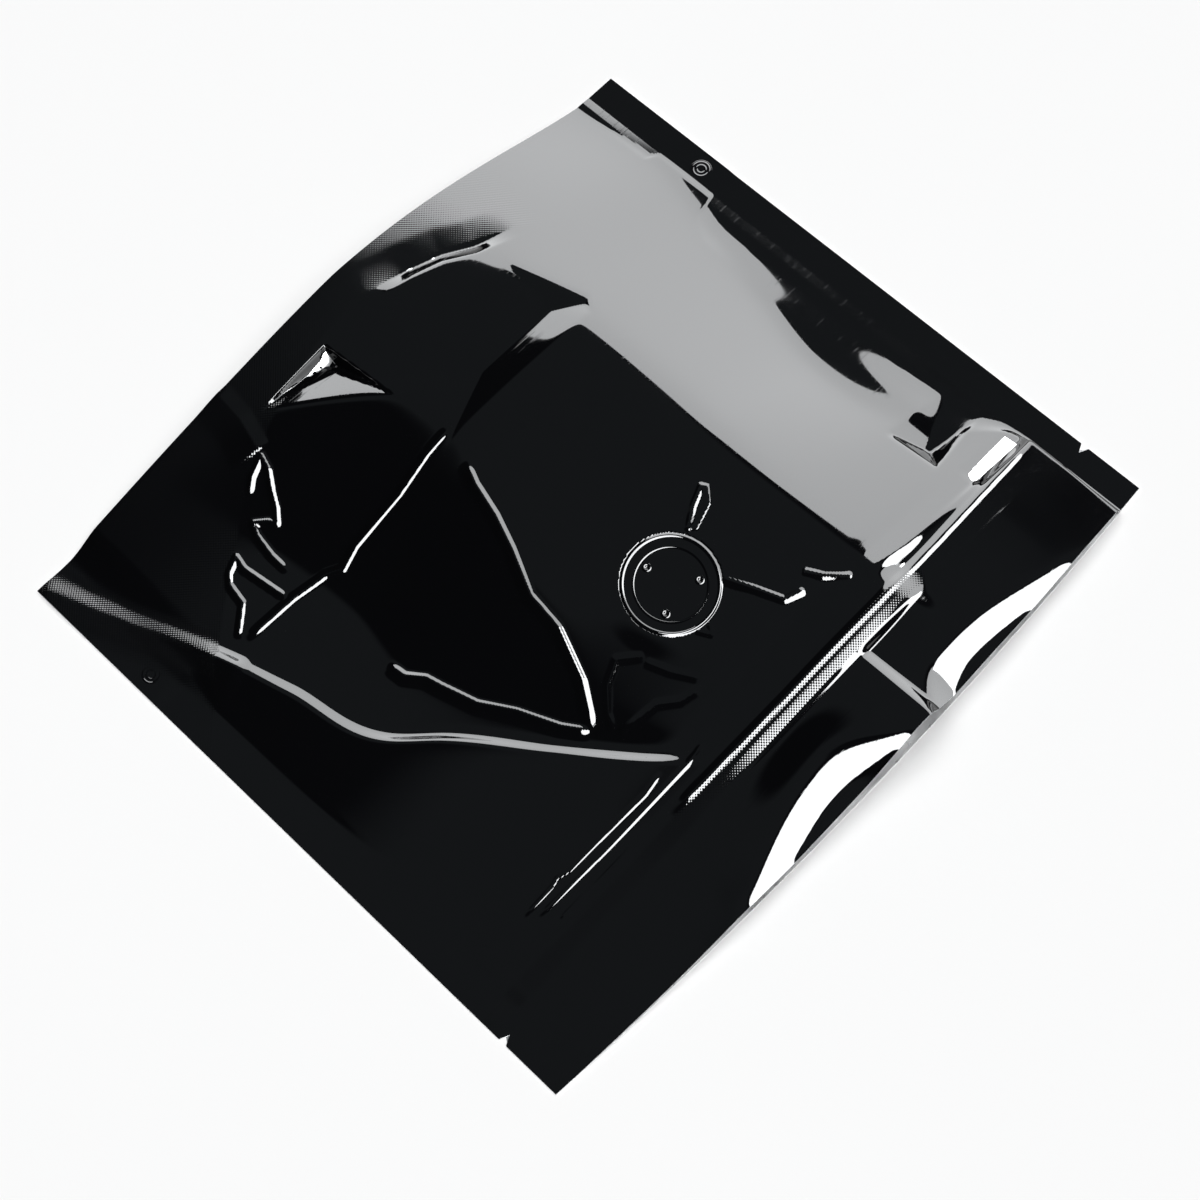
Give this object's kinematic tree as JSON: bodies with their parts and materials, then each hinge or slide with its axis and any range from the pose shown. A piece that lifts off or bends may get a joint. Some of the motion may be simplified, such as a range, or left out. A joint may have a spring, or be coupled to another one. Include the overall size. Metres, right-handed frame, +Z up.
{
  "type": "stand-up foil bag",
  "caption": "Glossy black stand-up foil pouch lying on its back, with an open zip mouth, tear notches, a bottom gusset and a round degassing valve.",
  "frame": {"origin": "middle of the bounding box, on the surface that the back panel lies on", "axes": "+X across the pouch, +Y from the open mouth to the bottom gusset, +Z up through the front panel"},
  "size_m": [0.19, 0.171, 0.0197],
  "materials": {
    "film": "gloss",
    "zip": "satin",
    "valve": "satin"
  },
  "bodies": {
    "root": {"bag_film": "film", "zip_track_front": "zip", "zip_track_back": "zip", "valve": "valve"}
  },
  "joints": []
}
